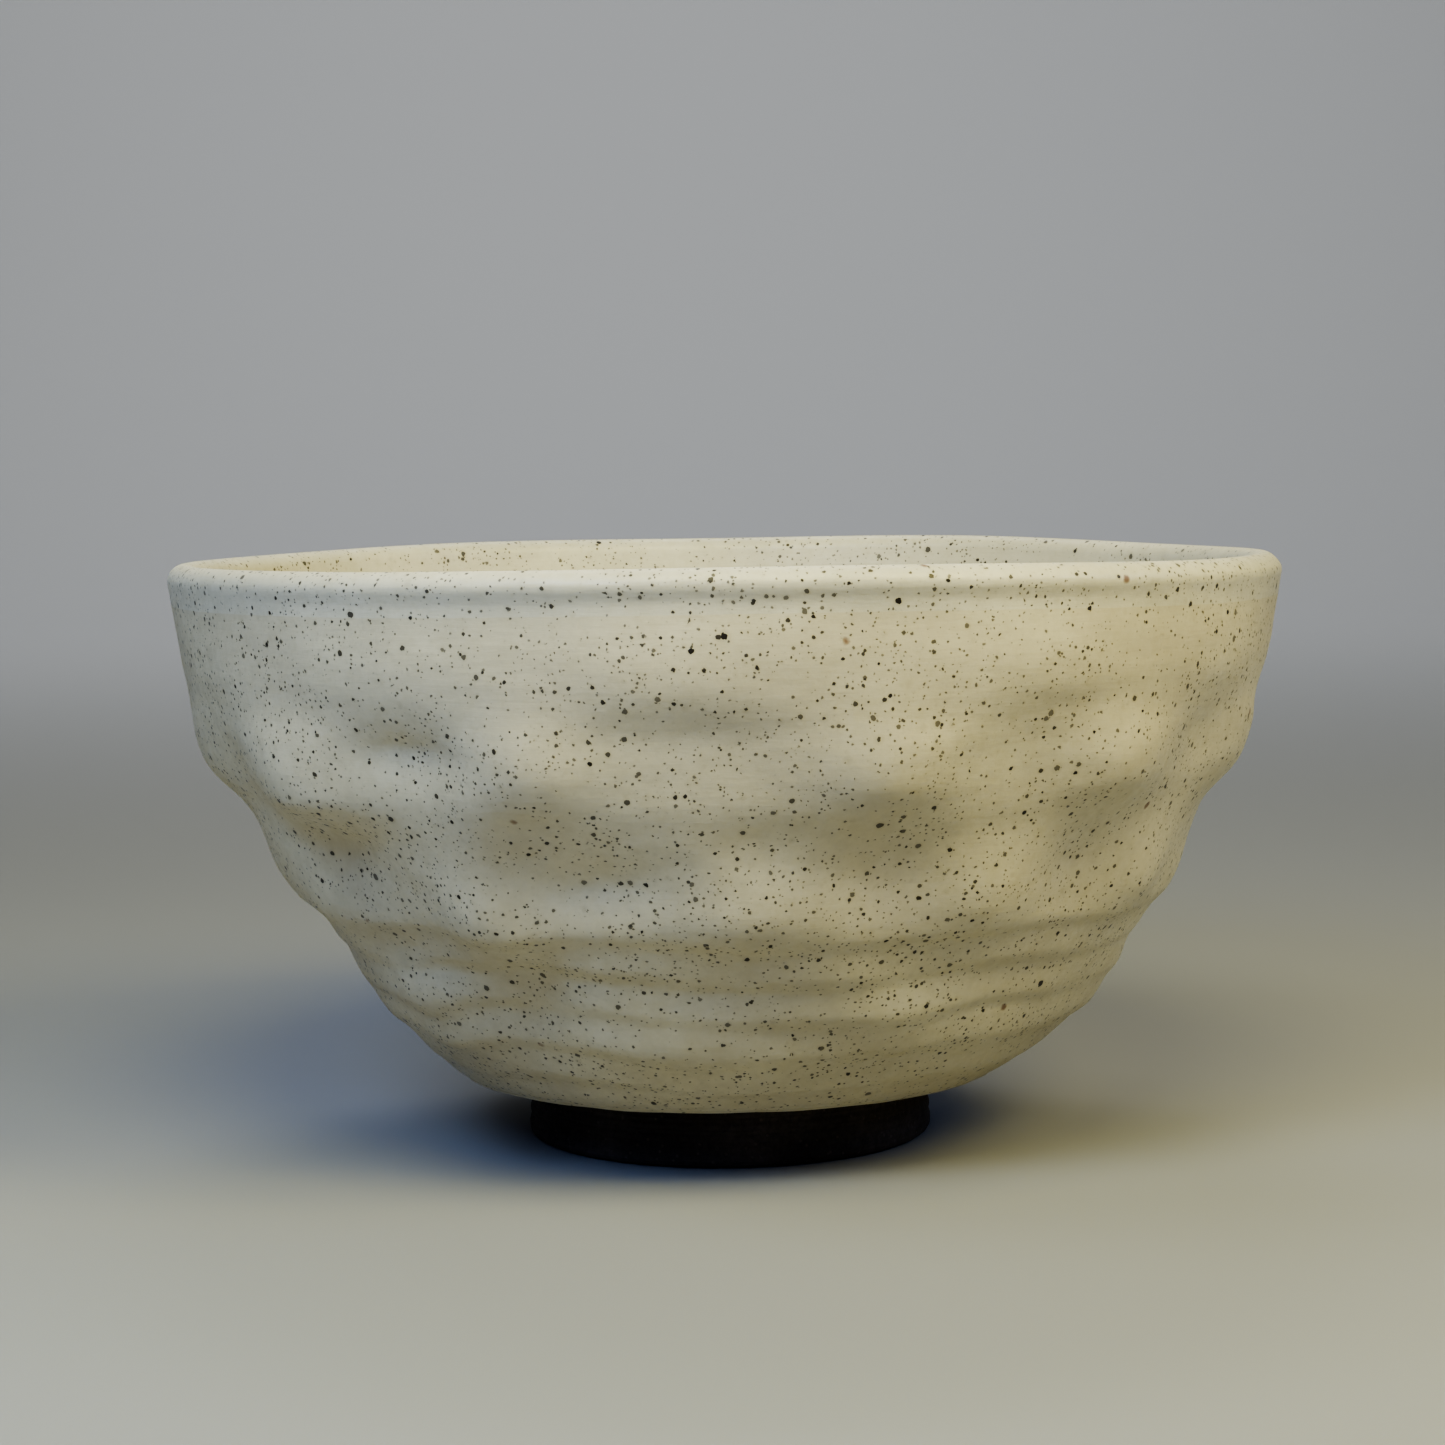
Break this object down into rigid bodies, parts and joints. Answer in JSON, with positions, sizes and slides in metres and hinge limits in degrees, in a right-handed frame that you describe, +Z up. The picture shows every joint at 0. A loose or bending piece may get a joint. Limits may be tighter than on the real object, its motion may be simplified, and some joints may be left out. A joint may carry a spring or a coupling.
{
  "type": "stoneware bowl",
  "caption": "Wheel-thrown speckled stoneware bowl with a rolled lip, dimpled wall and bare turned foot ring. It holds a ball of yarn while knitting.",
  "frame": {"origin": "centre of the foot ring's resting face", "axes": "+Z up along the bowl's axis of turning; -Y is the side that faces the viewer"},
  "size_m": [0.15, 0.15, 0.0795],
  "materials": {
    "clay": "matte dark brown-grey stoneware body",
    "bare_clay": "matte, unglazed, with turning marks",
    "glaze_outside": "satin warm grey-white glaze with dark iron specks",
    "glaze_edge": "satin, thick rounded edge of the same glaze",
    "glaze_lip": "satin, the same glaze thinner over the lip",
    "glaze_inside": "satin cream glaze with dark iron specks"
  },
  "bodies": {
    "root": {"clay_wall": "clay", "foot_ring": "bare_clay", "outer_glaze": "glaze_outside", "glaze_roll": "glaze_edge", "lip_glaze": "glaze_lip", "inner_glaze": "glaze_inside"}
  },
  "joints": []
}
